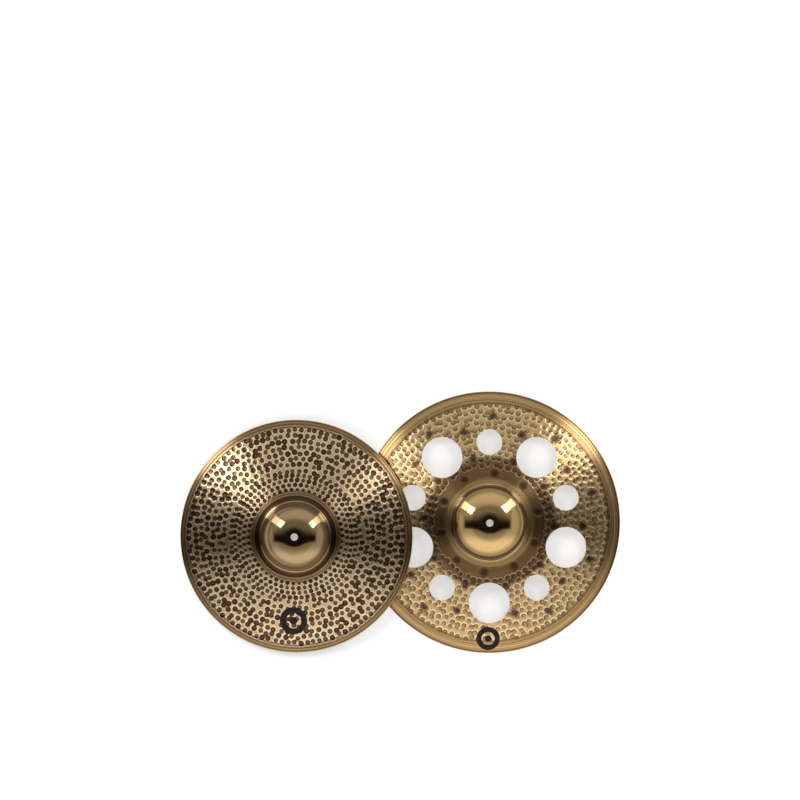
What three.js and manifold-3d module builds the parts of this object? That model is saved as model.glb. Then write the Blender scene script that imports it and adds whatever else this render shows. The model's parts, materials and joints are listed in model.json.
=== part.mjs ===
// A set of two crash cymbals at rest on a flat surface, in millimetres, +Z up.
// The smaller, solid crash leans with one edge on the larger crash, which has ten round holes.
// Each cymbal is one disc of bronze: a domed bell in the middle, a shallow bow that falls away to
// the edge, and a hole for the stand. The origin is on the surface, under the middle of the set.
import * as THREE from "three";
import { mergeVertices } from "three/addons/utils/BufferGeometryUtils.js";
import Module from "manifold-3d";

const wasm = await Module();
wasm.setup();

// Driving dimensions
const INCH = 25.4;
const STAND_HOLE_RADIUS = INCH / 4;
const CROWN_RADIUS = 12.5; // the flat round the stand's hole, where the felt bears

const CRASH = {
  radius: (16 * INCH) / 2,
  height: 49, // top of the bell over the edge
  bellArc: 54,
  neckArc: 24, // the hollow curve between bell and bow
  bowArc: 790,
  thickness: { crown: 1.2, edge: 0.8 },
};
const TRASH = {
  radius: (18 * INCH) / 2,
  height: 55,
  bellArc: 62,
  neckArc: 10,
  bowArc: 890,
  thickness: { crown: 1.2, edge: 0.8 },
};
const RING = { radius: 140.3, count: 10, firstAngle: 18 }; // the ring of holes, in mm and degrees
const SMALL_HOLE_RADIUS = 22.4;
const LARGE_HOLE_RADIUS = 35.5;

const SPACING = { x: 336.8, y: 24 }; // from the crash's centre to the trash crash's
const REST_GAP = 0.3; // between the crash's edge and the surface that it leans on

// Facets
const TURNS = 72;
const BELL_STEPS = 6;
const NECK_STEPS = 3;
const BOW_STEPS = 5;
const HOLE_SIDES = 36;

// The centres and end angles of the three arcs of a cymbal's top, as radius r and height z. The
// bow's circle is centred on the axis, and the neck's circle touches the bell's and the bow's.
function arcsOf(cymbal) {
  const { radius, height, bellArc, neckArc, bowArc, thickness } = cymbal;
  const edgeAngle = Math.asin(radius / bowArc);
  const edgeTop = thickness.edge * Math.cos(edgeAngle);
  const bow = new THREE.Vector2(0, edgeTop - bowArc * Math.cos(edgeAngle));
  const bell = new THREE.Vector2(CROWN_RADIUS, height - bellArc);
  const apart = bow.distanceTo(bell);
  const toBow = bowArc + neckArc;
  const toBell = bellArc + neckArc;
  const along = (toBow ** 2 - toBell ** 2 + apart ** 2) / (2 * apart);
  const across = Math.sqrt(toBow ** 2 - along ** 2);
  const line = bell.clone().sub(bow).normalize();
  const neck = bow
    .clone()
    .addScaledVector(line, along)
    .addScaledVector(new THREE.Vector2(line.y, -line.x), across);
  return {
    bow,
    bell,
    neck,
    edgeAngle,
    bellEnd: Math.atan2(neck.x - bell.x, neck.y - bell.y),
    bowStart: Math.atan2(neck.x - bow.x, neck.y - bow.y),
  };
}

// A cymbal's top from the stand's hole to the edge: points with the outward normal at each. An
// angle is the slope there, measured from level, and the neck's normal points to its centre.
function topOf(cymbal) {
  const { bow, bell, neck, edgeAngle, bellEnd, bowStart } = arcsOf(cymbal);
  const up = new THREE.Vector2(0, 1);
  const top = [{ point: new THREE.Vector2(STAND_HOLE_RADIUS, cymbal.height), normal: up }];
  const addArc = (centre, radius, from, to, steps, first) => {
    for (let step = first; step <= steps; step++) {
      const slope = from + ((to - from) * step) / steps;
      const normal = new THREE.Vector2(Math.sin(slope), Math.cos(slope));
      top.push({ point: centre.clone().addScaledVector(normal, radius), normal });
    }
  };
  addArc(bell, cymbal.bellArc, 0, bellEnd, BELL_STEPS, 0);
  addArc(neck, -cymbal.neckArc, bellEnd, bowStart, NECK_STEPS, 1);
  addArc(bow, cymbal.bowArc, bowStart, edgeAngle, BOW_STEPS, 1);
  return top;
}

// The height of a cymbal's bow over the surface, at a distance from its axis.
function bowHeight(cymbal, distance) {
  return arcsOf(cymbal).bow.y + Math.sqrt(cymbal.bowArc ** 2 - distance ** 2);
}

// A plain disc: the top, and the underside at the sheet's thickness. That is the same all over the
// flat round the hole, and thins from there to the edge.
function discOf(cymbal) {
  const { crown, edge } = cymbal.thickness;
  const top = topOf(cymbal);
  const under = top.map(({ point, normal }) => {
    const way = Math.max(0, (point.x - CROWN_RADIUS) / (cymbal.radius - CROWN_RADIUS));
    return point.clone().addScaledVector(normal, -THREE.MathUtils.lerp(crown, edge, way));
  });
  const outline = [...under, ...top.map(({ point }) => point).reverse(), under[0]];
  return new THREE.LatheGeometry(outline, TURNS).rotateX(Math.PI / 2);
}

function solidOf(geometry) {
  const bare = geometry.clone().deleteAttribute("normal").deleteAttribute("uv");
  const merged = mergeVertices(bare, 1e-4);
  return new wasm.Manifold(
    new wasm.Mesh({
      numProp: 3,
      vertProperties: merged.attributes.position.array,
      triVerts: new Uint32Array(merged.index.array),
    }),
  );
}

function geometryOf(solid) {
  const mesh = solid.getMesh();
  return new THREE.BufferGeometry()
    .setAttribute("position", new THREE.BufferAttribute(mesh.vertProperties, 3))
    .setIndex(new THREE.BufferAttribute(mesh.triVerts, 1));
}

// The round holes of the trash crash, small and large in turn, cut straight along the axis.
function cutHoles(disc) {
  let solid = solidOf(disc);
  for (let index = 0; index < RING.count; index++) {
    const radius = index % 2 === 0 ? SMALL_HOLE_RADIUS : LARGE_HOLE_RADIUS;
    const angle = THREE.MathUtils.degToRad(RING.firstAngle + (360 / RING.count) * index);
    const cutter = new THREE.CylinderGeometry(radius, radius, 3 * TRASH.height, HOLE_SIDES)
      .rotateX(Math.PI / 2)
      .translate(RING.radius * Math.cos(angle), RING.radius * Math.sin(angle), 0);
    solid = solid.subtract(solidOf(cutter));
  }
  return geometryOf(solid);
}

function bronze(name, geometry, color, roughness) {
  const material = new THREE.MeshStandardMaterial({ color, roughness, metalness: 1 });
  const mesh = new THREE.Mesh(geometry, material);
  mesh.name = name;
  return mesh;
}

const crash = bronze("crash_cymbal", discOf(CRASH), 0x8c7350, 0.35);
const trash = bronze("trash_crash_cymbal", cutHoles(discOf(TRASH)), 0xa6865a, 0.35);

// The trash crash lies flat. The crash's far edge is on the surface, and its near edge is on the
// bow of the trash crash, so it leans about the level line at right angles to the line of centres.
const apart = Math.hypot(SPACING.x, SPACING.y);
const restHeight = bowHeight(TRASH, apart - CRASH.radius) + REST_GAP;
const lean = Math.asin(restHeight / (2 * CRASH.radius));

const leaning = new THREE.Group();
leaning.position.set(-SPACING.x, -SPACING.y, CRASH.radius * Math.sin(lean));
leaning.quaternion.setFromAxisAngle(
  new THREE.Vector3(SPACING.y, -SPACING.x, 0).divideScalar(apart),
  lean,
);
leaning.add(crash);

const pair = new THREE.Group();
pair.add(trash, leaning);
const middle = new THREE.Box3().setFromObject(pair, true).getCenter(new THREE.Vector3());
pair.position.set(-middle.x, -middle.y, 0);

const set = new THREE.Group();
set.add(pair);

export default set;
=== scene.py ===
"""Crash cymbals of hammered bronze, one leaning on the other, on a pale studio floor."""

import json
import math
from functools import partial

import bpy
import numpy as np
from bpy.props import FloatProperty, FloatVectorProperty, IntProperty, PointerProperty
from mathutils import Matrix, Vector
from mathutils.geometry import delaunay_2d_cdt


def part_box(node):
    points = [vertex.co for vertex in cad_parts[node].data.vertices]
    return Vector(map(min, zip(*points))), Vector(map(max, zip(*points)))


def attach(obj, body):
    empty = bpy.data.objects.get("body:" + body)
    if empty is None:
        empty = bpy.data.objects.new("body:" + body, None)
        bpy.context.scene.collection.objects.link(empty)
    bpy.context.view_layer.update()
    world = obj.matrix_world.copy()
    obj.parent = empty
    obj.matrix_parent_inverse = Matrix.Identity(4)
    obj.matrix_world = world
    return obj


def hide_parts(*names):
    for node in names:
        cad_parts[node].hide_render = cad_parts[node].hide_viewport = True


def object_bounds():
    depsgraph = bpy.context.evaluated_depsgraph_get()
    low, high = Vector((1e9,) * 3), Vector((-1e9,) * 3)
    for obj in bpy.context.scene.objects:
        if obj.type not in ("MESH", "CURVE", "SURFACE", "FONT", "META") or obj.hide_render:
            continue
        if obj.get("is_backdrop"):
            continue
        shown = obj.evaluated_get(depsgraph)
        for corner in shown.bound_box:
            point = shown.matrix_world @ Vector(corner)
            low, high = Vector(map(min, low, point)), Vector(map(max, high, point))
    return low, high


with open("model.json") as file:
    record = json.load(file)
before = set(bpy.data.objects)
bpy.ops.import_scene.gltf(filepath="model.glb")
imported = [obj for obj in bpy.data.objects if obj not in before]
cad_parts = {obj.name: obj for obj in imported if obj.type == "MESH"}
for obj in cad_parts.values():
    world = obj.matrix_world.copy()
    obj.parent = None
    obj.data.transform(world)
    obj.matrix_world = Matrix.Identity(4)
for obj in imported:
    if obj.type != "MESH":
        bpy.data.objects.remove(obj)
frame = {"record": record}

bl_info = {
    "name": "Crash Cymbals",
    "version": (1, 0, 0),
    "blender": (4, 5, 0),
    "location": "3D View > Sidebar > Cymbals",
    "description": "Hammered and lathed bronze crash cymbals, with their studio",
    "category": "Add Mesh",
}

MM = 0.001
FULL_TURN = 2 * math.pi
CRASH, TRASH = "crash_cymbal", "trash_crash_cymbal"
MATHS, VECTORS, RANGE = "ShaderNodeMath", "ShaderNodeVectorMath", "ShaderNodeMapRange"
EASED = {"interpolation_type": "SMOOTHSTEP"}

# The edge of a cymbal, as the lathe leaves it.
RIM_ZONE = 15.6 * MM
RIDGE_PITCH = 5.2 * MM
RIDGE_DEPTH = 0.3 * MM
EDGE_DROP = 0.2 * MM
BROKEN_EDGE = 0.2 * MM

# How closely a mesh is spaced: a step is from ring to ring, a pitch is from point to point in a
# ring, and a room is what the lattice leaves free along the edges.
BELL_STEP, NECK_STEP, BOW_STEP, RIM_STEP = 1.5 * MM, 1.0 * MM, 1.44 * MM, 1.0 * MM
NECK_SPAN = (0.24, 0.345)  # where the neck's step holds, in edge radii
TOP_PITCH, TOP_ROOM = 1.58 * MM, 0.6 * MM
UNDER_STEP, UNDER_PITCH, UNDER_ROOM = 3 * MM, 3.4 * MM, 1.5 * MM
EDGE_PITCH = 1.2 * MM

# The marks nearest to the bell are smaller, and this far out from them they have their full size.
GROWTH_ZONE = 60 * MM
FIRST_GROWTH = 0.76

# The real grooves are finer than half a millimetre, and are drawn this far apart to show.
GROOVE_MM = 3.3

# In metres, from the pair's middle to each lamp, and from the floor's middle to its sides.
LAMP_DISTANCE = 6
FLOOR_HALF = 8


# ---------------------------------------------------------------- properties


def length(name, description, millimetres):
    return FloatProperty(
        name=name, description=description, default=millimetres * MM, unit="LENGTH", precision=5
    )


def share(name, description, default):
    return FloatProperty(
        name=name, description=description, default=default, min=0, max=1, subtype="FACTOR"
    )


def angle(name, description, degrees):
    return FloatProperty(
        name=name, description=description, default=math.radians(degrees), subtype="ANGLE"
    )


def linear(code):
    """A colour written as sRGB hex, in the linear values that shaders and lights use."""
    channels = [int(code[i : i + 2], 16) / 255 for i in (0, 2, 4)]
    return [c / 12.92 if c <= 0.04045 else ((c + 0.055) / 1.055) ** 2.4 for c in channels]


def colour(name, description, code):
    return FloatVectorProperty(
        name=name, description=description, default=linear(code), subtype="COLOR", min=0, max=1
    )


def edge_radius(node):
    """Half of a node's depth, which the lean leaves as it is."""
    low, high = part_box(node)
    return (high.y - low.y) / 2 / MM


class CrashSizes(bpy.types.PropertyGroup):
    """The solid crash."""

    edge: length("Edge radius", "From the axis to the edge", edge_radius(CRASH))
    height: length("Height", "From the edge to the top of the bell", 49)
    hole: length("Stand hole radius", "Half an inch across", 6.35)
    crown: length("Crown radius", "The flat round the stand's hole", 12.5)
    bell_arc: length("Bell arc", "Radius of the bell's curve", 54)
    neck_arc: length("Neck arc", "Radius of the hollow curve between bell and bow", 24)
    bow_arc: length("Bow arc", "Radius of the bow's curve", 790)
    crown_sheet: length("Sheet at the crown", "Thickness of the metal there", 1.2)
    edge_sheet: length("Sheet at the edge", "Thickness of the metal there", 0.8)
    bell: length("Bell radius", "Of the polished part", 54)
    first_ring: length("First ring of marks", "Radius of the innermost ring of hammer marks", 81.7)
    ring_step: length("Step between rings", "Between the regular rings of marks", 8.3)
    rings: IntProperty(name="Rings", description="Regular rings of marks", default=4, min=0)
    ring_pitch: length("Pitch in a ring", "Between the marks of one ring", 10.2)
    loose_ring: length("First loose ring", "Radius where the loose marks begin", 114.5)
    loose_step: length("Loose step", "Between the rings of loose marks", 10.3)
    loose_rings: IntProperty(name="Loose rings", description="Rings of loose marks", default=8)
    loose_pitch: length("Loose pitch", "Between the marks of a loose ring", 11.3)
    stray: length("Stray", "How far a loose mark is from its place in the ring", 2.1)
    mark: length("Mark radius", "Of one blow of the hammer", 5.3)
    depth: length("Mark depth", "Of one blow of the hammer", 0.4)
    slant: share("Slant", "How much steeper a mark is towards the bell", 0.2)
    seed: IntProperty(name="Seed", description="For the places of the loose marks", default=7)


class TrashSizes(bpy.types.PropertyGroup):
    """The trash crash, with its ring of round holes."""

    edge: length("Edge radius", "From the axis to the edge", edge_radius(TRASH))
    height: length("Height", "From the edge to the top of the bell", 55)
    hole: length("Stand hole radius", "Half an inch across", 6.35)
    crown: length("Crown radius", "The flat round the stand's hole", 12.5)
    bell_arc: length("Bell arc", "Radius of the bell's curve", 62)
    neck_arc: length("Neck arc", "Radius of the hollow curve between bell and bow", 10)
    bow_arc: length("Bow arc", "Radius of the bow's curve", 890)
    crown_sheet: length("Sheet at the crown", "Thickness of the metal there", 1.2)
    edge_sheet: length("Sheet at the edge", "Thickness of the metal there", 0.8)
    bell: length("Bell radius", "Of the polished part", 60)
    holes: IntProperty(name="Sound holes", description="Small and large in turn", default=10)
    holes_ring: length("Ring of holes", "Radius of the ring that their centres are on", 140.3)
    holes_start: angle("First hole", "Its angle from +X", 18)
    small_hole: length("Small hole radius", "Of every other sound hole", 22.4)
    large_hole: length("Large hole radius", "Of the sound holes between", 35.5)
    first_ring: length("First ring of marks", "Radius of the innermost ring of hammer marks", 0)
    ring_step: length("Step between rings", "Between the regular rings of marks", 9)
    rings: IntProperty(name="Rings", description="Regular rings of marks", default=0, min=0)
    ring_pitch: length("Pitch in a ring", "Between the marks of one ring", 10)
    loose_ring: length("First loose ring", "Radius where the loose marks begin", 102)
    loose_step: length("Loose step", "Between the rings of loose marks", 10.3)
    loose_rings: IntProperty(name="Loose rings", description="Rings of loose marks", default=11)
    loose_pitch: length("Loose pitch", "Between the marks of a loose ring", 11.6)
    stray: length("Stray", "How far a loose mark is from its place in the ring", 2.7)
    mark: length("Mark radius", "Of one blow of the hammer", 5.1)
    depth: length("Mark depth", "Of one blow of the hammer", 0.45)
    slant: share("Slant", "How much steeper a mark is towards the bell", 0.9)
    burn: length("Dark mark radius", "Of a blow of the heavy hammer", 9.0)
    burn_depth: length("Dark mark depth", "Of a blow of the heavy hammer", 0.5)
    seed: IntProperty(name="Seed", description="For the places of the loose marks", default=3)


class FinishColours(bpy.types.PropertyGroup):
    """The colours of the bronze and of what is on it."""

    crash: colour("Crash bronze", "The smaller cymbal's clean metal", "DFBE8E")
    trash: colour("Trash crash bronze", "The larger cymbal's clean metal", "E4BE84")
    crash_polish: colour("Crash bell", "The smaller bell's bare metal", "947D5C")
    trash_polish: colour("Trash crash bell", "The larger bell's bare metal", "B29566")
    # Paler than the clean bronze: partly metal bared by the tool, partly a painted highlight on each
    # mark's lip.
    rubbed_and_highlight: colour("Rubbed bronze", "The raised lip round a hammer mark", "F5DDB8")
    # Patina in the hammer marks, which also carries the painted shade on each mark's wall towards the
    # bell.
    patina: colour("Patina", "The brown film that is left in a hammer mark", "2F1E12")
    shade: colour("Thin patina", "The film where the lathe's tool passed lightly", "6C5234")
    burnt: colour("Burnt patina", "The purple-brown film in the dark marks", "46302A")
    soot: colour("Thick patina", "The dark ring between bell and bow", "564430")
    ink: colour("Ink", "The printed emblem", "1B1512")
    floor: colour("Floor", "Matt white paper", "BABABA")


class StudioSizes(bpy.types.PropertyGroup):
    """The camera and the lamps."""

    camera_height: length("Camera height", "Over the floor", 8000)
    aside: length("Camera aside", "From over the pair's middle, to the right", -0.3)
    beyond: length("Camera beyond", "From over the pair's middle, to the far side", 213.7)
    lens: FloatProperty(name="Lens", description="Focal length in mm", default=205.9)
    softbox: FloatProperty(name="Softboxes", description="Brightness of each", default=12.5)
    low_box: FloatProperty(name="Low softboxes", description="Brightness of each", default=2.8)
    front: FloatProperty(name="Front wall", description="Its brightness", default=1.8)
    back: FloatProperty(name="Back wall", description="Its brightness", default=1.1)
    side: FloatProperty(name="Side walls", description="Their brightness", default=0.85)
    dark: FloatProperty(name="Ceiling", description="Its brightness round the camera", default=0.02)
    glow: FloatProperty(name="Floor's glow", description="Light through the paper", default=0.44)


# ---------------------------------------------------------------- nodes


def node(tree, kind, links=None, **settings):
    """Adds a node. links gives its inputs, by name or number: a value, another node's output, or
    another node, which stands for its first output."""
    made = tree.nodes.new(kind)
    for key, value in settings.items():
        setattr(made, key, value)
    for key, value in (links or {}).items():
        if isinstance(value, bpy.types.Node):
            value = value.outputs[0]
        if isinstance(value, bpy.types.NodeSocket):
            tree.links.new(value, made.inputs[key])
        else:
            made.inputs[key].default_value = value
    return made


# ---------------------------------------------------------------- mesh of a cymbal


def outline(size):
    """A cymbal's top from the stand's hole to its edge: radii, heights and slopes, closely spaced.
    The bow's circle is centred on the axis, and the neck's circle touches the bell's and the bow's.
    """
    edge_slope = math.asin(size.edge / size.bow_arc)
    bow = Vector((0, (size.edge_sheet - size.bow_arc) * math.cos(edge_slope)))
    bell = Vector((size.crown, size.height - size.bell_arc))
    line = (bell - bow).normalized()
    apart = (bell - bow).length
    to_bow, to_bell = size.bow_arc + size.neck_arc, size.bell_arc + size.neck_arc
    along = (to_bow**2 - to_bell**2 + apart**2) / (2 * apart)
    across = math.sqrt(to_bow**2 - along**2)
    neck = bow + along * line + across * Vector((line.y, -line.x))
    bell_end = math.atan2(neck.x - bell.x, neck.y - bell.y)
    bow_start = math.atan2(neck.x - bow.x, neck.y - bow.y)
    parts = [([size.hole], [size.height], [0.0])]
    for centre, radius, start, end in (
        (bell, size.bell_arc, 0, bell_end),
        (neck, -size.neck_arc, bell_end, bow_start),
        (bow, size.bow_arc, bow_start, edge_slope),
    ):
        slope = np.linspace(start, end, 400)
        parts.append((centre.x + radius * np.sin(slope), centre.y + radius * np.cos(slope), slope))
    radii, heights, slopes = (np.concatenate(column) for column in zip(*parts))
    return radii, heights, slopes


def faces_of(size):
    """Functions from a radius to the height of the top and of the underside. The lathe leaves a few
    low ridges near the edge, and turns the last of it down."""
    radii, heights, slopes = outline(size)
    way = np.clip((radii - size.crown) / (size.edge - size.crown), 0, 1)
    sheet = size.crown_sheet + (size.edge_sheet - size.crown_sheet) * way
    under_radii = radii - sheet * np.sin(slopes)
    under_heights = heights - sheet * np.cos(slopes)
    from_edge = size.edge - radii
    ridges = RIDGE_DEPTH * (1 - np.cos(FULL_TURN * from_edge / RIDGE_PITCH)) / 2
    drop = EDGE_DROP * np.clip(1 - from_edge / RIDGE_PITCH, 0, 1) ** 2
    top_heights = heights - np.where(from_edge < RIM_ZONE, ridges, 0) - drop

    def top(r):
        return np.interp(r, radii, top_heights)

    def under(r):
        return np.interp(r, under_radii, under_heights)

    return top, under


def circle(centre, radius, count):
    turn = np.arange(count) * FULL_TURN / count
    return np.column_stack((centre[0] + radius * np.cos(turn), centre[1] + radius * np.sin(turn)))


def ring_lattice(start, stop, step_at, pitch, even):
    """Points on rings round the axis, every other ring turned by half a step. Inside the radius
    called even, the rings have 64 points or that doubled a few times, so that the triangles are all
    alike where the surface is curved most."""
    fewest, least_even = 8, 64
    closer = 1.3
    rings = []
    radius = start
    while radius < stop:
        count = max(fewest, round(FULL_TURN * radius / pitch))
        if radius < even:
            doublings = math.ceil(math.log2(count * closer / least_even))
            count = least_even * 2 ** max(0, doublings)
        turn = (np.arange(count) + 0.5 * (len(rings) % 2)) * FULL_TURN / count
        rings.append(np.column_stack((radius * np.cos(turn), radius * np.sin(turn))))
        radius += step_at(radius)
    return np.concatenate(rings)


def triangulate(points, loops, holes):
    """Triangles over the points inside the first loop and outside the holes, all facing up.
    The corners of the loops follow the points in the numbering."""
    everything = np.concatenate([points, *loops]) / MM
    edges = []
    first = len(points)
    for loop in loops:
        numbers = first + np.arange(len(loop))
        edges += list(zip(numbers.tolist(), np.roll(numbers, -1).tolist()))
        first += len(loop)
    all_faces, nearness = 0, 1e-5
    found, _, triangles, *_ = delaunay_2d_cdt(
        [Vector(p) for p in everything.tolist()], edges, [], all_faces, nearness
    )
    if len(found) != len(everything):
        raise RuntimeError("two points of the lattice fell on each other")
    triangles = np.array(triangles)
    middles = everything[triangles].mean(1) * MM
    keep = np.ones(len(triangles), bool)
    for centre, radius in holes:
        keep &= np.hypot(*(middles - centre).T) > radius
    triangles = triangles[keep]
    a, b, c = (everything[triangles[:, corner]] for corner in range(3))
    turned = np.cross(b - a, c - a) < 0
    triangles[turned] = triangles[turned][:, ::-1]
    return triangles


def wall_quads(levels, count, inward):
    """A band of quads through rows of count points, from the lowest row to the highest. levels are
    the numbers of each row's first point. The band faces the axis of its circle if inward."""
    here = np.arange(count)
    after = np.roll(here, -1)
    bands = []
    for low, high in zip(levels, levels[1:]):
        quad = np.column_stack((low + here, low + after, high + after, high + here))
        bands.append(quad[:, ::-1] if inward else quad)
    return np.concatenate(bands)


def mesh_from(name, vertices, triangles, quads, is_top):
    """A mesh with the attribute top, which is 1 on the face that is hammered."""
    mesh = bpy.data.meshes.new(name)
    mesh.vertices.add(len(vertices))
    mesh.vertices.foreach_set("co", vertices.astype(np.float32).ravel())
    corners = np.concatenate((triangles.ravel(), quads.ravel()))
    sizes = np.concatenate((np.full(len(triangles), 3), np.full(len(quads), 4)))
    mesh.loops.add(len(corners))
    mesh.loops.foreach_set("vertex_index", corners.astype(np.int32))
    mesh.polygons.add(len(sizes))
    starts = np.concatenate(([0], np.cumsum(sizes)[:-1]))
    mesh.polygons.foreach_set("loop_start", starts.astype(np.int32))
    mesh.update(calc_edges=True)
    top = mesh.attributes.new("top", "FLOAT", "POINT")
    top.data.foreach_set("value", is_top.astype(np.float32))
    mesh.validate()
    return mesh


def cymbal_mesh(name, size, holes):
    """A closed shell: a fine top, a coarser underside, and a wall with broken edges round each hole
    and round the rim."""
    top, under = faces_of(size)
    neck_start, neck_end = (size.edge * part for part in NECK_SPAN)
    rim = size.edge - RIM_ZONE

    def step_at(radius):
        if radius < neck_start:
            return BELL_STEP
        if radius < neck_end:
            return NECK_STEP
        return BOW_STEP if radius < rim else RIM_STEP

    axis = (0.0, 0.0)
    holes = [(axis, size.hole), *holes]
    cuts = [(centre, radius + BROKEN_EDGE) for centre, radius in holes]
    circles = [(axis, size.edge, -BROKEN_EDGE), *((*hole, BROKEN_EDGE) for hole in holes)]
    counts = [round(FULL_TURN * radius / EDGE_PITCH) for _, radius, _ in circles]
    loops = [circle(c, r + grow, n) for (c, r, grow), n in zip(circles, counts)]
    walls = [circle(c, r, n) for (c, r, _), n in zip(circles, counts)]
    top_end, under_end = size.edge - 0.8 * MM, size.edge - 2 * MM
    fine = ring_lattice(size.hole + EDGE_PITCH, top_end, step_at, TOP_PITCH, neck_end)
    coarse = ring_lattice(
        size.hole + UNDER_STEP, under_end, lambda _: UNDER_STEP, UNDER_PITCH, even=0
    )
    vertices, faces, is_top, loop_starts = [], [], [], []
    total = 0
    for points, height, room in ((fine, top, TOP_ROOM), (coarse, under, UNDER_ROOM)):
        for centre, radius in cuts:
            points = points[np.hypot(*(points - centre).T) > radius + room]
        triangles = triangulate(points, loops, cuts)
        plan = np.concatenate([points, *loops])
        vertices.append(np.column_stack((plan, height(np.hypot(*plan.T)))))
        faces.append((triangles if height is top else triangles[:, ::-1]) + total)
        is_top.append(np.full(len(plan), float(height is top)))
        loop_starts.append(total + len(points))
        total += len(plan)
    top_start, under_start = loop_starts
    quads = []
    for number, (count, wall) in enumerate(zip(counts, walls)):
        before = sum(counts[:number])
        reach = np.hypot(*wall.T)
        lower = np.maximum(under(reach), 0) + BROKEN_EDGE
        upper = top(reach) - BROKEN_EDGE
        vertices += [np.column_stack((wall, lower)), np.column_stack((wall, upper))]
        is_top += [np.zeros(count), np.ones(count)]
        levels = [under_start + before, total, total + count, top_start + before]
        total += 2 * count
        quads.append(wall_quads(levels, count, inward=number > 0))
    return mesh_from(
        name,
        np.concatenate(vertices),
        np.concatenate(faces),
        np.concatenate(quads),
        np.concatenate(is_top),
    )


# ---------------------------------------------------------------- hammering


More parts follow.
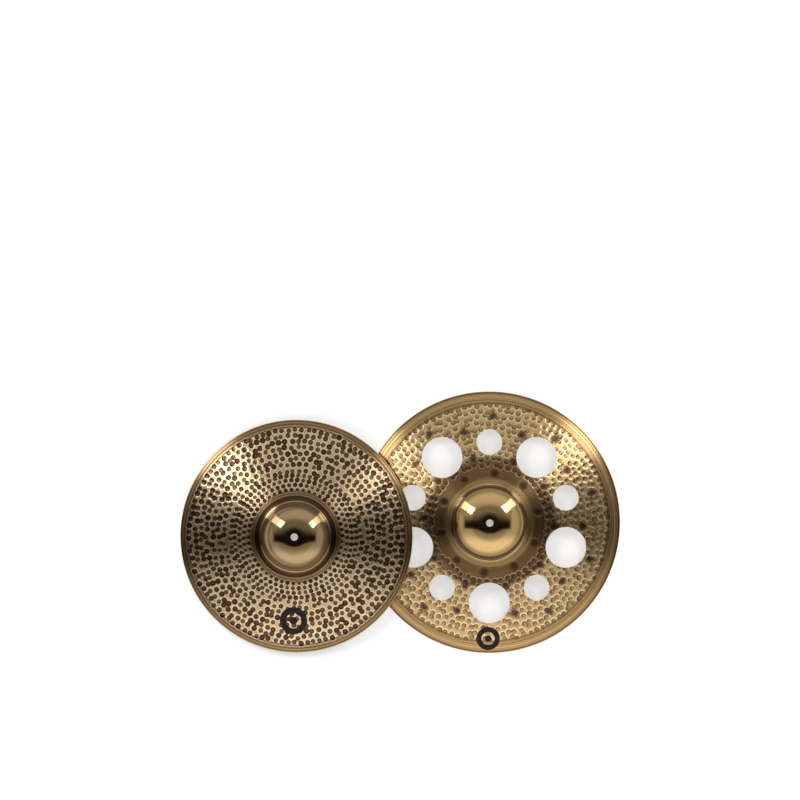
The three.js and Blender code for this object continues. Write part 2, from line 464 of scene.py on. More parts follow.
def hammering(name, burn_rings):
    """A tree that strikes hammer marks into a cymbal's top. The marks lie in regular rings, then
    loosely. burn_rings are the (radius, first angle) of rings of dark marks from a heavy hammer.
    It leaves attributes for the finish: plan, mark, which is the distance from the nearest mark's
    middle in its radii, inward, which is that distance towards the bell, tone and burn."""
    tree = bpy.data.node_groups.new(name, "GeometryNodeTree")
    add = partial(node, tree)
    face = tree.interface
    face.new_socket(name="Geometry", in_out="INPUT", socket_type="NodeSocketGeometry")
    for label, kind in (
        ("First Ring", "Float"),
        ("Ring Step", "Float"),
        ("Rings", "Int"),
        ("Ring Pitch", "Float"),
        ("Loose Ring", "Float"),
        ("Loose Step", "Float"),
        ("Loose Rings", "Int"),
        ("Loose Pitch", "Float"),
        ("Stray", "Float"),
        ("Mark Radius", "Float"),
        ("Mark Depth", "Float"),
        ("Slant", "Float"),
        ("Burn Radius", "Float"),
        ("Burn Depth", "Float"),
        ("Bell Radius", "Float"),
        ("Seed", "Int"),
        ("Bow Finish", "Material"),
        ("Bell Finish", "Material"),
    ):
        face.new_socket(name=label, in_out="INPUT", socket_type="NodeSocket" + kind)
    face.new_socket(name="Geometry", in_out="OUTPUT", socket_type="NodeSocketGeometry")
    given = add("NodeGroupInput").outputs

    def rings_of(first, step, count, pitch):
        """Points on rings: each turn of the loop adds one, a step wider, turned by its radius."""
        begin = add("GeometryNodeRepeatInput")
        end = add("GeometryNodeRepeatOutput")
        begin.pair_with_output(end)
        end.repeat_items.new("FLOAT", "Radius")
        tree.links.new(count, begin.inputs["Iterations"])
        tree.links.new(first, begin.inputs["Radius"])
        radius = begin.outputs["Radius"]
        girth = add(MATHS, {0: radius, 1: FULL_TURN}, operation="MULTIPLY")
        fits = add(MATHS, {0: girth, 1: pitch}, operation="DIVIDE")
        ring = add("GeometryNodeMeshCircle", {"Vertices": fits, "Radius": radius})
        twist = add(MATHS, {0: radius, 1: MM}, operation="DIVIDE")
        about = add("ShaderNodeCombineXYZ", {"Z": twist})
        turned = add("GeometryNodeTransform", {"Geometry": ring, "Rotation": about})
        joined = add("GeometryNodeJoinGeometry")
        tree.links.new(begin.outputs["Geometry"], joined.inputs[0])
        tree.links.new(turned.outputs[0], joined.inputs[0])
        tree.links.new(joined.outputs[0], end.inputs["Geometry"])
        wider = add(MATHS, {0: radius, 1: step}, operation="ADD")
        tree.links.new(wider.outputs[0], end.inputs["Radius"])
        return add("GeometryNodeMeshToPoints", {"Mesh": end.outputs["Geometry"]})

    regular = rings_of(given["First Ring"], given["Ring Step"], given["Rings"], given["Ring Pitch"])
    loose = rings_of(
        given["Loose Ring"], given["Loose Step"], given["Loose Rings"], given["Loose Pitch"]
    )
    chance = add(
        "FunctionNodeRandomValue",
        {0: (-1, -1, 0), 1: (1, 1, 0), "Seed": given["Seed"]},
        data_type="FLOAT_VECTOR",
    )
    away = add(VECTORS, {0: chance, "Scale": given["Stray"]}, operation="SCALE")
    strayed = add("GeometryNodeSetPosition", {"Geometry": loose, "Offset": away})
    blows = add("GeometryNodeJoinGeometry")
    for source in (regular, strayed):
        tree.links.new(source.outputs[0], blows.inputs[0])

    place = add("GeometryNodeInputPosition")
    flat = add(VECTORS, {0: place, 1: (1, 1, 0)}, operation="MULTIPLY")
    is_top = add("GeometryNodeInputNamedAttribute", {"Name": "top"}, data_type="FLOAT")

    def nearest(points, radius, seed):
        """How far each place is from the nearest point and how far of that towards the bell, in
        radii of the mark there, and a number of that mark's own between 0 and 1."""
        near = add(
            "GeometryNodeProximity",
            {0: points, "Sample Position": flat},
            target_element="POINTS",
        )
        which = add("GeometryNodeSampleNearest", {"Geometry": points, "Sample Position": flat})
        own = add(
            "FunctionNodeRandomValue",
            {2: 0.0, 3: 1.0, "Seed": seed, "ID": which},
            data_type="FLOAT",
        ).outputs[1]
        middle = near.outputs["Position"]
        from_axis = add(VECTORS, {0: middle}, operation="LENGTH").outputs["Value"]
        start = given["First Ring"]
        full = add(MATHS, {0: start, 1: GROWTH_ZONE}, operation="ADD")
        grown = add(RANGE, {0: from_axis, 1: start, 2: full, 3: FIRST_GROWTH, 4: 1.0})
        # No two marks are alike: each is up to 12 percent smaller or larger.
        varied = add(MATHS, {0: own, 1: 0.24, 2: 0.88}, operation="MULTIPLY_ADD")
        usual = add(MATHS, {0: grown, 1: radius}, operation="MULTIPLY")
        wide = add(MATHS, {0: varied, 1: usual}, operation="MULTIPLY")
        shrink = add(MATHS, {0: 1.0, 1: wide}, operation="DIVIDE")
        from_middle = add(VECTORS, {0: flat, 1: middle}, operation="SUBTRACT")
        offset = add(VECTORS, {0: from_middle, "Scale": shrink}, operation="SCALE")
        far = add(VECTORS, {0: offset}, operation="LENGTH").outputs["Value"]
        farthest = 4.0
        reach = add(MATHS, {0: far, 1: farthest}, operation="MINIMUM")
        outward = add(VECTORS, {0: middle}, operation="NORMALIZE")
        to_bell = add(VECTORS, {0: outward, "Scale": -1.0}, operation="SCALE")
        inward = add(VECTORS, {0: offset, 1: to_bell}, operation="DOT_PRODUCT").outputs["Value"]
        return reach, inward, own

    def bowl(reach, inward, slant, depth):
        """A round dent that is steeper towards the bell, with a low lip pushed up round it."""
        lip_at, lip_width, lip_height = 1.12, 0.2, 0.13
        inner = add(MATHS, {0: reach, 1: 1.0}, operation="MINIMUM")
        squared = add(MATHS, {0: inner, 1: inner}, operation="MULTIPLY")
        hollow = add(MATHS, {0: 1.0, 1: squared}, operation="SUBTRACT")
        steeper = add(MATHS, {0: inward, 1: slant}, operation="MULTIPLY")
        uneven = add(MATHS, {0: 1.0, 1: steeper}, operation="ADD")
        deep = add(MATHS, {0: uneven, 1: depth}, operation="MULTIPLY")
        dent = add(MATHS, {0: hollow, 1: deep}, operation="MULTIPLY")
        to_lip = add(MATHS, {0: reach, 1: lip_at}, operation="SUBTRACT")
        from_lip = add(MATHS, {0: to_lip}, operation="ABSOLUTE")
        lip = add(RANGE, {0: from_lip, 1: lip_width, 2: 0.0, 3: 0.0, 4: lip_height}, **EASED)
        raised = add(MATHS, {0: lip, 1: depth}, operation="MULTIPLY")
        return add(MATHS, {0: dent, 1: raised}, operation="SUBTRACT")

    mark_seed, burn_seed = 21, 33
    reach, inward, own = nearest(blows, given["Mark Radius"], mark_seed)
    # The weakest blow goes 0.7 as deep as the strongest.
    strength = add(MATHS, {0: own, 1: 0.3, 2: 0.7}, operation="MULTIPLY_ADD")
    depth = add(MATHS, {0: given["Mark Depth"], 1: strength}, operation="MULTIPLY")
    dent = bowl(reach, inward, given["Slant"], depth)
    stores = [
        ("plan", "FLOAT_VECTOR", place),
        ("mark", "FLOAT", reach),
        ("inward", "FLOAT", inward),
        ("tone", "FLOAT", own),
    ]
    if burn_rings:
        heavy = add("GeometryNodeJoinGeometry")
        for ring_radius, start in burn_rings:
            ring = add("GeometryNodeMeshCircle", {"Vertices": 10, "Radius": ring_radius})
            turned = add("GeometryNodeTransform", {"Geometry": ring, "Rotation": (0, 0, start)})
            tree.links.new(turned.outputs[0], heavy.inputs[0])
        struck = add("GeometryNodeMeshToPoints", {"Mesh": heavy})
        scorch, towards, _ = nearest(struck, given["Burn Radius"], burn_seed)
        burn = bowl(scorch, towards, 0.0, given["Burn Depth"])
        dent = add(MATHS, {0: dent, 1: burn}, operation="MAXIMUM")
        stores.append(("burn", "FLOAT", scorch))

    shape = given["Geometry"]
    for label, kind, value in stores:
        shape = add(
            "GeometryNodeStoreNamedAttribute",
            {"Geometry": shape, "Name": label, "Value": value},
            data_type=kind,
            domain="POINT",
        )
    # A blow shows on the underside too, at half its depth.
    share_here = add(MATHS, {0: is_top, 1: -0.5, 2: -0.5}, operation="MULTIPLY_ADD")
    fall = add(MATHS, {0: dent, 1: share_here}, operation="MULTIPLY")
    sink = add("ShaderNodeCombineXYZ", {"Z": fall})
    shape = add("GeometryNodeSetPosition", {"Geometry": shape, "Offset": sink})
    shape = add("GeometryNodeRealizeInstances", {"Geometry": shape})
    shape = add("GeometryNodeSetMaterial", {"Geometry": shape, "Material": given["Bow Finish"]})
    out_there = add(VECTORS, {0: flat}, operation="LENGTH").outputs["Value"]
    in_bell = add(
        "FunctionNodeCompare", {0: out_there, 1: given["Bell Radius"]}, operation="LESS_THAN"
    )
    shape = add(
        "GeometryNodeSetMaterial",
        {"Geometry": shape, "Selection": in_bell, "Material": given["Bell Finish"]},
    )
    add("NodeGroupOutput", {"Geometry": shape})
    return tree


def strike(piece, tree, values):
    """Runs the tree on the piece, and keeps the result as its plain mesh."""
    work = piece.modifiers.new("hammering", "NODES")
    work.node_group = tree
    sockets = {
        item.name: item.identifier
        for item in tree.interface.items_tree
        if item.in_out == "INPUT"
    }
    for label, value in values.items():
        work[sockets[label]] = value
    bpy.context.view_layer.update()
    graph = bpy.context.evaluated_depsgraph_get()
    made = bpy.data.meshes.new_from_object(
        piece.evaluated_get(graph), preserve_all_data_layers=True, depsgraph=graph
    )
    piece.modifiers.remove(work)
    piece.data = made
    bpy.data.node_groups.remove(tree)


# ---------------------------------------------------------------- finishes


def rgba(value):
    return (*value, 1.0)


def metal(name, finish):
    """A bronze with its nodes. finish(tree, plan, outward, radius) gives the shader's inputs. Every
    finish works in the cymbal's own plan: x and y across it, and the radius in millimetres."""
    made = bpy.data.materials.new(name)
    made.use_nodes = True
    tree = made.node_tree
    tree.nodes.clear()
    metres = node(tree, "ShaderNodeAttribute", attribute_name="plan").outputs["Vector"]
    plan = node(tree, VECTORS, {0: metres, 1: (1 / MM, 1 / MM, 0)}, operation="MULTIPLY")
    radius = node(tree, VECTORS, {0: plan}, operation="LENGTH").outputs["Value"]
    # The lathe's grooves run round the axis, so light spreads across them, along the radius.
    outward = node(tree, VECTORS, {0: plan}, operation="NORMALIZE")
    inputs = {"Metallic": 1.0, "Tangent": outward} | finish(tree, plan, outward, radius)
    shader = node(tree, "ShaderNodeBsdfPrincipled", inputs)
    node(tree, "ShaderNodeOutputMaterial", {"Surface": shader})
    return made


def films_over(tree, clean, films):
    """The clean metal's colour under films. Each is a pair of its colour and some factors, whose
    product is how much of it covers."""
    seen = rgba(clean)
    for tint, factors in films:
        cover = 1.0
        for factor in factors:
            cover = node(tree, MATHS, {0: cover, 1: factor}, operation="MULTIPLY")
        links = {"Factor": cover, 6: seen, 7: rgba(tint)}
        seen = node(tree, "ShaderNodeMix", links, data_type="RGBA").outputs[2]
    return seen


def by_radius(tree, radius, edge, stops):
    """A grey value that changes with the radius. stops are pairs of a radius in millimetres and the
    value there."""
    share_out = node(tree, MATHS, {0: radius, 1: edge}, operation="DIVIDE")
    graph = node(tree, "ShaderNodeValToRGB", {0: share_out})
    marks = graph.color_ramp.elements
    while len(marks) < len(stops):
        marks.new(1.0)
    for mark, (distance, value) in zip(marks, stops):
        mark.position = distance / edge
        mark.color = (value, value, value, 1)
    return graph


def tool_streaks(tree, outward, radius, across, around, seed):
    """Noise drawn out round the axis, as a tool leaves it: across is how many streaks fit in a
    millimetre of radius, and around how many fit in a radian. From 0 to 1."""
    spun = node(tree, VECTORS, {0: outward, "Scale": around}, operation="SCALE")
    rise = node(tree, MATHS, {0: radius, 1: across, 2: seed}, operation="MULTIPLY_ADD")
    lift = node(tree, "ShaderNodeCombineXYZ", {"Z": rise})
    place = node(tree, VECTORS, {0: spun, 1: lift}, operation="ADD")
    links = {"Vector": place, "Scale": 1.0, "Detail": 3.0, "Roughness": 0.6}
    return node(tree, "ShaderNodeTexNoise", links)


def grooves(tree, radius, wander):
    """Even grooves round the axis, from 0 to 1. wander, from 0 to 1, shifts them."""
    shift = node(tree, MATHS, {0: wander, 1: 5.0}, operation="MULTIPLY")
    turns = {0: radius, 1: FULL_TURN / GROOVE_MM, 2: shift}
    phase = node(tree, MATHS, turns, operation="MULTIPLY_ADD")
    wave = node(tree, MATHS, {0: phase}, operation="SINE")
    return node(tree, MATHS, {0: wave, 1: 0.5, 2: 0.5}, operation="MULTIPLY_ADD")


def emblem(tree, plan, x, y, size):
    """1 inside the printed emblem, a plain ring round a dot. Its outlines are soft over blur."""
    ring_middle, ring_half, dot_radius = 0.78 * size, 0.22 * size, 0.28 * size
    blur = 0.2
    offset = node(tree, VECTORS, {0: plan, 1: (x, y, 0)}, operation="SUBTRACT")
    away = node(tree, VECTORS, {0: offset}, operation="LENGTH").outputs["Value"]
    from_ring = node(tree, MATHS, {0: away, 1: ring_middle}, operation="SUBTRACT")
    band = node(tree, MATHS, {0: from_ring}, operation="ABSOLUTE")
    ring = node(tree, RANGE, {0: band, 1: ring_half + blur, 2: ring_half - blur}, **EASED)
    dot = node(tree, RANGE, {0: away, 1: dot_radius + blur, 2: dot_radius - blur}, **EASED)
    return node(tree, MATHS, {0: ring, 1: dot}, operation="MAXIMUM")


def bow_finish(clean, colours, edge, emblem_at, film_stops, rough_stops, look):
    """Cast bronze, hammered, then turned on a lathe with a hand-held tool. The tool bares bright
    metal in grooves round the axis, so that a lamp is drawn out into a band along the radius, and it
    leaves the brown film of the forge in the hammer marks and where it was lifted. The marks also
    carry painted light: a painted highlight on each lip, and painted shade on the wall towards the
    bell, lighter in the middle. look says how much each of these shows, and from where in a mark,
    counted towards the bell, it starts."""

    def finish(tree, plan, outward, radius):
        add = partial(node, tree)
        mark, tone, inward, top = (
            add("ShaderNodeAttribute", attribute_name=label).outputs["Fac"]
            for label in ("mark", "tone", "inward", "top")
        )
        fine = tool_streaks(tree, outward, radius, 0.6, 1.8, 3.1)
        broad = tool_streaks(tree, outward, radius, 0.13, 0.9, 40.7)
        cut = grooves(tree, radius, broad)
        patches = add(RANGE, {0: fine, 1: 0.35, 2: 0.65, 3: 0.1, 4: 1.0}, **EASED)
        narrow = add(MATHS, {0: cut, 1: cut}, operation="MULTIPLY")
        lines = add(MATHS, {0: narrow, 1: patches}, operation="MULTIPLY")

        # Near the edge the tool was held in a rest, so its lines are true.
        sway_ends = {1: edge - 25, 2: edge - 45, 3: 0.5, 4: look["wander"]}
        sway = add(RANGE, {0: radius, **sway_ends}, **EASED)
        swing = add(MATHS, {0: broad, 1: 0.5}, operation="SUBTRACT")
        wander = add(MATHS, {0: swing, 1: sway, 2: radius}, operation="MULTIPLY_ADD")
        film = by_radius(tree, wander, edge, film_stops)
        lined = add(MATHS, {0: lines, 1: look["lines"], 2: film}, operation="MULTIPLY_ADD")
        faint = add(RANGE, {0: fine, 1: 0.6, 2: 0.35}, **EASED)
        cover = add(MATHS, {0: faint, 1: look["streaks"], 2: lined}, operation="MULTIPLY_ADD")
        thin = add("ShaderNodeClamp", {0: cover})
        # Between bell and bow the tool barely touched the film.
        sooty = add(RANGE, {0: film, 1: 0.8, 2: 1.0}, **EASED)

        # Each mark's raised lip is paler than the clean metal: partly bronze bared by the tool,
        # partly a painted highlight, from where look says towards the bell.
        lip_highlight_from = look["lip_highlight_from"]
        lip = [
            add(RANGE, {0: mark, 1: 0.82, 2: 0.94}, **EASED),
            add(RANGE, {0: mark, 1: 1.3, 2: 1.1}, **EASED),
            add(RANGE, {0: inward, 1: lip_highlight_from, 2: lip_highlight_from + 0.8}, **EASED),
            add(RANGE, {0: film, 1: 0.1, 2: 0.75, 3: 1.0, 4: 0.3}, **EASED),
            top,
            look["lip"],
        ]
        # Each mark keeps the forge's brown patina, with painted shade in it: darkest at the foot of
        # the wall on the side towards the bell, lighter in the middle.
        patina_and_shade_from, most = look["patina_and_shade_from"], look["mark"]
        foot = [
            add(RANGE, {0: mark, 1: 0.95, 2: 0.8}, **EASED),
            add(RANGE, {0: mark, 1: 0.05, 2: 0.7, 3: look["middle"], 4: 1.0}, **EASED),
            add(RANGE, {0: inward, 1: patina_and_shade_from, 2: patina_and_shade_from + 1.3}, **EASED),
            add(RANGE, {0: tone, 1: 0.0, 2: 1.0, 3: most * 0.86, 4: most}, **EASED),
            top,
        ]
        films = [
            (colours.shade, [thin]),
            (colours.soot, [sooty]),
            (colours.rubbed_and_highlight, lip),
            (colours.patina, foot),
        ]
        if look["burn"]:
            scorch = add("ShaderNodeAttribute", attribute_name="burn").outputs["Fac"]
            ragged = add("ShaderNodeTexNoise", {"Vector": plan, "Scale": 0.35, "Detail": 3.0})
            torn = add(MATHS, {0: ragged, 1: 0.8, 2: scorch}, operation="MULTIPLY_ADD")
            burnt = add(RANGE, {0: torn, 1: 1.55, 2: 0.75}, **EASED)
            films.append((colours.burnt, [burnt, top, 0.9]))
        print_there = emblem(tree, plan, *emblem_at)
        ink = add(MATHS, {0: print_there, 1: top}, operation="MULTIPLY")
        films.append((colours.ink, [ink]))

        rough = by_radius(tree, radius, edge, rough_stops)
        raised = add(MATHS, {0: fine, 1: 0.8}, operation="MULTIPLY")
        height = add(MATHS, {0: lines, 1: -0.6, 2: raised}, operation="MULTIPLY_ADD")
        return {
            "Base Color": films_over(tree, clean, films),
            "Metallic": add(MATHS, {0: 1.0, 1: ink}, operation="SUBTRACT"),
            "Roughness": add(MATHS, {0: fine, 1: -0.12, 2: rough}, operation="MULTIPLY_ADD"),
            "Anisotropic": 0.9,
            "Specular IOR Level": 0.15,
            "Normal": add(
                "ShaderNodeBump", {"Height": height, "Strength": 0.6, "Distance": 0.08 * MM}
            ),
        }

    return finish


def bell_finish(clean, colours, edge):
    """The same bronze, buffed on a wheel, so that it mirrors what is round it. Faint rings are left,
    and the film shows at its foot."""

    def finish(tree, plan, outward, radius):
        add = partial(node, tree)
        top = add("ShaderNodeAttribute", attribute_name="top").outputs["Fac"]
        fine = tool_streaks(tree, outward, radius, 0.5, 0.5, 7.7)
        foot = add(RANGE, {0: radius, 1: edge - 5, 2: edge}, **EASED)
        # The wheel takes less off near the crown, which keeps a thin film.
        crown = add(RANGE, {0: radius, 1: 36, 2: 28, 3: 0.0, 4: 0.45}, **EASED)
        rings = add(RANGE, {0: fine, 1: 0.35, 2: 0.7, 3: 0.0, 4: 0.1}, **EASED)
        thin = add(MATHS, {0: crown, 1: rings}, operation="ADD")
        films = [(colours.shade, [thin]), (colours.soot, [foot, top, 0.8])]
        return {
            "Base Color": films_over(tree, clean, films),
            "Roughness": add(RANGE, {0: fine, 1: 0.3, 2: 0.7, 3: 0.07, 4: 0.12}, **EASED),
            "Anisotropic": 0.4,
            "Normal": add(
                "ShaderNodeBump", {"Height": fine, "Strength": 0.1, "Distance": 0.01 * MM}
            ),
        }

    return finish


# ---------------------------------------------------------------- pieces


def place_of(node_name, mount_name):
    """A cymbal's place in the frame. The mount on its crown gives the lean, and the node's box gives
    where its axis meets the plane of its edge."""
    mounts = {mount["name"]: mount for mount in frame["record"]["mounts"]}
    up = Vector(mounts[mount_name]["axis"]).normalized()
    turn = Vector((0, 0, 1)).rotation_difference(up).to_matrix().to_4x4()
    low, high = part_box(node_name)
    rise = (high.y - low.y) / 2 * math.hypot(up.x, up.y)
    middle = Vector(((low.x + high.x) / 2, (low.y + high.y) / 2, rise))
    return Matrix.Translation(middle) @ turn


def make_cymbal(name, node_name, body, size, bow, bell, holes=(), burn_rings=()):
    """Makes one cymbal in its place. The mount on its crown is named for it."""
    mesh = cymbal_mesh(name, size, holes)
    piece = bpy.data.objects.new(name, mesh)
    bpy.context.scene.collection.objects.link(piece)
    values = {
        "First Ring": size.first_ring,
        "Ring Step": size.ring_step,
        "Rings": size.rings,
        "Ring Pitch": size.ring_pitch,
        "Loose Ring": size.loose_ring,
        "Loose Step": size.loose_step,
        "Loose Rings": size.loose_rings,
        "Loose Pitch": size.loose_pitch,
        "Stray": size.stray,
        "Mark Radius": size.mark,
        "Mark Depth": size.depth,
        "Slant": size.slant,
        "Bell Radius": size.bell,
        "Seed": size.seed,
        "Bow Finish": bow,
        "Bell Finish": bell,
    }
    if burn_rings:
        values |= {"Burn Radius": size.burn, "Burn Depth": size.burn_depth}
    strike(piece, hammering(name + "_hammering", burn_rings), values)
    bpy.data.meshes.remove(mesh)
    piece.data.name = name
    piece.data.transform(place_of(node_name, name + "_felt_seat_top"))
    piece.data.shade_smooth()
    piece.data.set_sharp_from_angle(angle=math.radians(35))
    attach(piece, body)
    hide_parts(node_name)


class CYMBALS_OT_crash(bpy.types.Operator):
    """Makes the solid crash: a hammered bow with a lathed edge and a polished bell"""

    bl_idname = "cymbals.crash"
    bl_label = "Crash"

    def execute(self, context):
        size, colours = context.scene.crash_sizes, context.scene.finish_colours
        edge = size.edge / MM
        # Where the film thins to a narrow line at 61.7 mm in the dark ring, and over the last few
        # millimetres to the edge, the paler metal is a painted highlight.
        film = [
            (53, 1.0), (60.6, 1.0), (61.7, 0.2), (62.8, 1.0), (71, 1.0), (72.6, 0.1), (74, 0.8),
            (76, 0.6), (79, 0.8), (83, 0.2), (103, 0.05), (104.5, 0.5), (106, 0.0), (177, 0.0),
            (184.3, 0.4), (187.2, 0.0), (190, 1.0), (192.4, 0.3), (195.3, 0.95), (197.5, 0.4),
            (200.2, 1.0), (edge, 0.1),
        ]
        rough = [(54, 0.26), (70, 0.28), (76, 0.35), (188, 0.35), (edge, 0.34)]
        # lip and its start set the painted highlight on each mark's lip; mark, middle and the
        # patina's start set the patina in the marks, with painted shade in it.
        look = {
            "wander": 1.2,
            "lines": 0.4,
            "streaks": 0.15,
            "lip": 0.75,
            "lip_highlight_from": -4.0,
            "mark": 0.97,
            "middle": 0.88,
            "patina_and_shade_from": -4.0,
            "burn": False,
        }
        bow = metal(
            "hammered_bronze",
            bow_finish(colours.crash, colours, edge, (-4, -147, 24), film, rough, look),
        )
        bell = metal(
            "polished_bronze_crash",
            bell_finish(colours.crash_polish, colours, size.bell / MM),
        )
        make_cymbal("crash", CRASH, "crash", size, bow, bell)
        return {"FINISHED"}


class CYMBALS_OT_trash_crash(bpy.types.Operator):
    """Makes the trash crash: a hammered bow with ten sound holes, and a polished bell"""

    bl_idname = "cymbals.trash_crash"
    bl_label = "Trash crash"

    def execute(self, context):
        size, colours = context.scene.trash_sizes, context.scene.finish_colours
        holes = []
        for number in range(size.holes):
            turn = size.holes_start + number * FULL_TURN / size.holes
            centre = (size.holes_ring * math.cos(turn), size.holes_ring * math.sin(turn))
            holes.append((centre, size.large_hole if number % 2 else size.small_hole))
        burn_rings = [
            (radius * MM, math.radians(start))
            for radius, start in ((86, 12), (115, 32.5), (163, 33.5), (186, 16))
        ]
        edge = size.edge / MM
        # Where the film thins over the last few millimetres to the edge, the paler metal is a painted
        # highlight along the rim.
        film = [
            (59, 1.0), (65, 1.0), (67, 0.1), (70, 0.1), (72, 0.6), (74, 0.3), (80, 0.79),
            (111, 0.79), (118, 0.04), (204, 0.1), (209, 0.8), (211.5, 0.3), (213.8, 0.8),
            (216.5, 0.2), (218.5, 0.4), (222.5, 0.25), (226.3, 1.0), (228, 0.3), (edge, 0.1),
        ]
        rough = [(59, 0.28), (66, 0.28), (76, 0.36), (206, 0.36), (edge, 0.34)]
        # lip and its start set the painted highlight on each mark's lip; mark, middle and the
        # patina's start set the patina in the marks, with painted shade in it.
        look = {
            "wander": 9.0,
            "lines": 0.4,
            "streaks": 0.12,
            "lip": 0.8,
            "lip_highlight_from": -0.6,
            "mark": 0.8,
            "middle": 0.3,
            "patina_and_shade_from": -0.9,
            "burn": True,
        }
        bow = metal(
            "turned_bronze",
            bow_finish(colours.trash, colours, edge, (-2, -203, 20.5), film, rough, look),
        )
        bell = metal(
            "polished_bronze_trash",
            bell_finish(colours.trash_polish, colours, size.bell / MM),
        )
        make_cymbal(
            "trash_crash",
            TRASH,
            "trash_crash",
            size,
            bow,
            bell,
            holes,
            burn_rings,
        )
        return {"FINISHED"}


def surroundings(studio):
    """A world of soft bright walls round a dark ceiling. The front wall starts almost overhead, the
    side walls only low down. What the camera sees of it is plain white."""
    world = bpy.data.worlds.new("studio")
    world.use_nodes = True
    tree = world.node_tree
    tree.nodes.clear()
    add = partial(node, tree)
    way = add("ShaderNodeTexCoord").outputs["Generated"]
    east, north, up = add("ShaderNodeSeparateXYZ", {0: way}).outputs

    def wall(direction, *rises):
        """A wall's brightness. Each rise has the two ends of a stretch of the direction, and how
        much brightness it adds over it."""
        total = 0.0
        for low, high, more in rises:
            rise = add(RANGE, {0: direction, 1: low, 2: high, 3: 0.0, 4: more}, **EASED)
            total = add(MATHS, {0: total, 1: rise}, operation="ADD")
        return total

    front = wall(north, (-0.17, -0.27, 0.4 * studio.front), (-0.27, -0.75, 0.6 * studio.front))
    back = wall(north, (-0.06, 0.28, 0.5 * studio.back), (0.4, 0.8, 0.5 * studio.back))
    shifted = add(MATHS, {0: east, 1: 0.07}, operation="ADD")
    aside = add(MATHS, {0: shifted}, operation="ABSOLUTE")
    sides = wall(aside, (0.74, 0.88, studio.side))
    ends = add(MATHS, {0: front, 1: back}, operation="MAXIMUM")
    walls = add(MATHS, {0: ends, 1: sides}, operation="MAXIMUM")
    # The walls are darker towards the floor.
    shade = add(RANGE, {0: up, 1: 0.0, 2: 0.35, 3: 0.45, 4: 1.0}, **EASED)
    light = add(MATHS, {0: walls, 1: shade, 2: studio.dark}, operation="MULTIPLY_ADD")
    seen = add("ShaderNodeLightPath").outputs["Is Camera Ray"]
    room = add("ShaderNodeBackground", {"Color": (1, 1, 1, 1), "Strength": light})
    plain_white = add("ShaderNodeBackground", {"Color": (1, 1, 1, 1), "Strength": 1.0})
    both = add("ShaderNodeMixShader", {0: seen, 1: room, 2: plain_white})
    add("ShaderNodeOutputWorld", {"Surface": both})
    return world


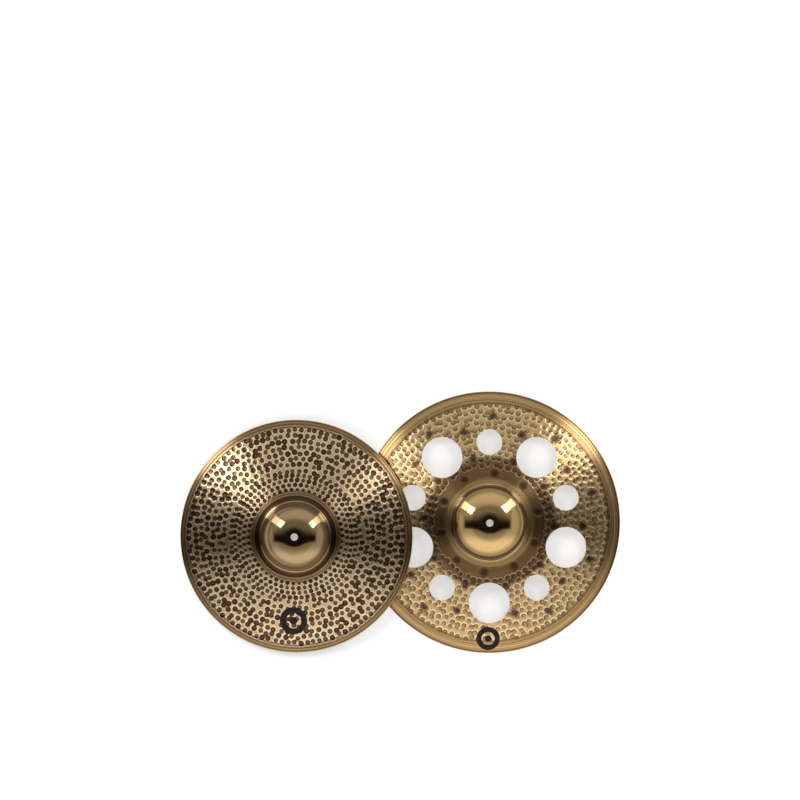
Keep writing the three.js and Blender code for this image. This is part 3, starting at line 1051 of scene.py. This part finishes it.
class CYMBALS_OT_studio(bpy.types.Operator):
    """Makes the floor, the lamps, the surroundings and the camera"""

    bl_idname = "cymbals.studio"
    bl_label = "Studio"

    def execute(self, context):
        studio, colours = context.scene.studio_sizes, context.scene.finish_colours
        scene = context.scene
        low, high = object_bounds()
        middle = (Vector(low) + Vector(high)) / 2

        # A sheet of matt white paper, with a little light coming through it.
        paper = bpy.data.materials.new("white_paper")
        paper.use_nodes = True
        coat = paper.node_tree.nodes["Principled BSDF"]
        coat.inputs["Base Color"].default_value = rgba(colours.floor)
        coat.inputs["Roughness"].default_value = 0.9
        coat.inputs["Specular IOR Level"].default_value = 0.1
        coat.inputs["Emission Color"].default_value = (1, 1, 1, 1)
        coat.inputs["Emission Strength"].default_value = studio.glow
        floor = bpy.data.meshes.new("floor")
        sides = ((-1, -1), (1, -1), (1, 1), (-1, 1))
        floor.from_pydata([(FLOOR_HALF * x, FLOOR_HALF * y, 0) for x, y in sides], [], [(0, 1, 2, 3)])
        floor.materials.append(paper)
        ground = bpy.data.objects.new("floor", floor)
        scene.collection.objects.link(ground)
        ground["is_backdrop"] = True

        # Two softboxes behind, left and right, and under each a taller one down to the floor. Each
        # has its azimuth, its angle from straight up, and how wide and tall it looks, in degrees.
        for label, azimuth, from_up, wide, tall, bright in (
            ("softbox_left", 145, 50, 14, 18, studio.softbox),
            ("softbox_right", 39, 50, 14, 18, studio.softbox),
            ("low_box_left", 145, 75, 15, 30, studio.low_box),
            ("low_box_right", 39, 75, 15, 30, studio.low_box),
        ):
            lamp = bpy.data.lights.new(label, "AREA")
            lamp.shape = "RECTANGLE"
            lamp.size = 2 * LAMP_DISTANCE * math.tan(math.radians(wide / 2))
            lamp.size_y = 2 * LAMP_DISTANCE * math.tan(math.radians(tall / 2))
            lamp.energy = bright * math.pi * lamp.size * lamp.size_y
            holder = bpy.data.objects.new(label, lamp)
            turn, lean = math.radians(azimuth), math.radians(from_up)
            way = Vector(
                (math.cos(turn) * math.sin(lean), math.sin(turn) * math.sin(lean), math.cos(lean))
            )
            holder.location = middle + way * LAMP_DISTANCE
            holder.rotation_euler = way.to_track_quat("Z", "Y").to_euler()
            holder.visible_camera = False
            scene.collection.objects.link(holder)

        scene.world = surroundings(studio)
        scene.view_settings.view_transform = "Standard"

        camera = bpy.data.cameras.new("camera")
        camera.lens = studio.lens
        camera.sensor_width = 36
        eye = bpy.data.objects.new("camera", camera)
        # The picture's middle is beyond the pair, which lies low in the picture.
        eye.location = (
            middle.x + studio.aside,
            middle.y + studio.beyond,
            studio.camera_height,
        )
        scene.collection.objects.link(eye)
        scene.camera = eye
        return {"FINISHED"}


class CYMBALS_PT_panel(bpy.types.Panel):
    """Lists the steps and the sizes and colours that they use"""

    bl_idname = "CYMBALS_PT_panel"
    bl_label = "Crash Cymbals"
    bl_space_type = "VIEW_3D"
    bl_region_type = "UI"
    bl_category = "Cymbals"

    def draw(self, context):
        for step in ("cymbals.studio", "cymbals.trash_crash", "cymbals.crash"):
            self.layout.operator(step)
        for label, _ in GROUPS:
            group = getattr(context.scene, label)
            box = self.layout.box()
            for key in group.__annotations__:
                box.prop(group, key)


GROUPS = (
    ("crash_sizes", CrashSizes),
    ("trash_sizes", TrashSizes),
    ("finish_colours", FinishColours),
    ("studio_sizes", StudioSizes),
)
OPERATORS = (CYMBALS_OT_studio, CYMBALS_OT_trash_crash, CYMBALS_OT_crash)


def register():
    for _, group in GROUPS:
        bpy.utils.register_class(group)
    for label, group in GROUPS:
        setattr(bpy.types.Scene, label, PointerProperty(type=group))
    for made in (*OPERATORS, CYMBALS_PT_panel):
        bpy.utils.register_class(made)


def unregister():
    for made in (CYMBALS_PT_panel, *reversed(OPERATORS)):
        bpy.utils.unregister_class(made)
    for label, group in reversed(GROUPS):
        delattr(bpy.types.Scene, label)
        bpy.utils.unregister_class(group)


def main():
    register()
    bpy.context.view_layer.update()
    bpy.ops.cymbals.studio()
    bpy.ops.cymbals.trash_crash()
    bpy.ops.cymbals.crash()


if __name__ == "__main__":
    main()
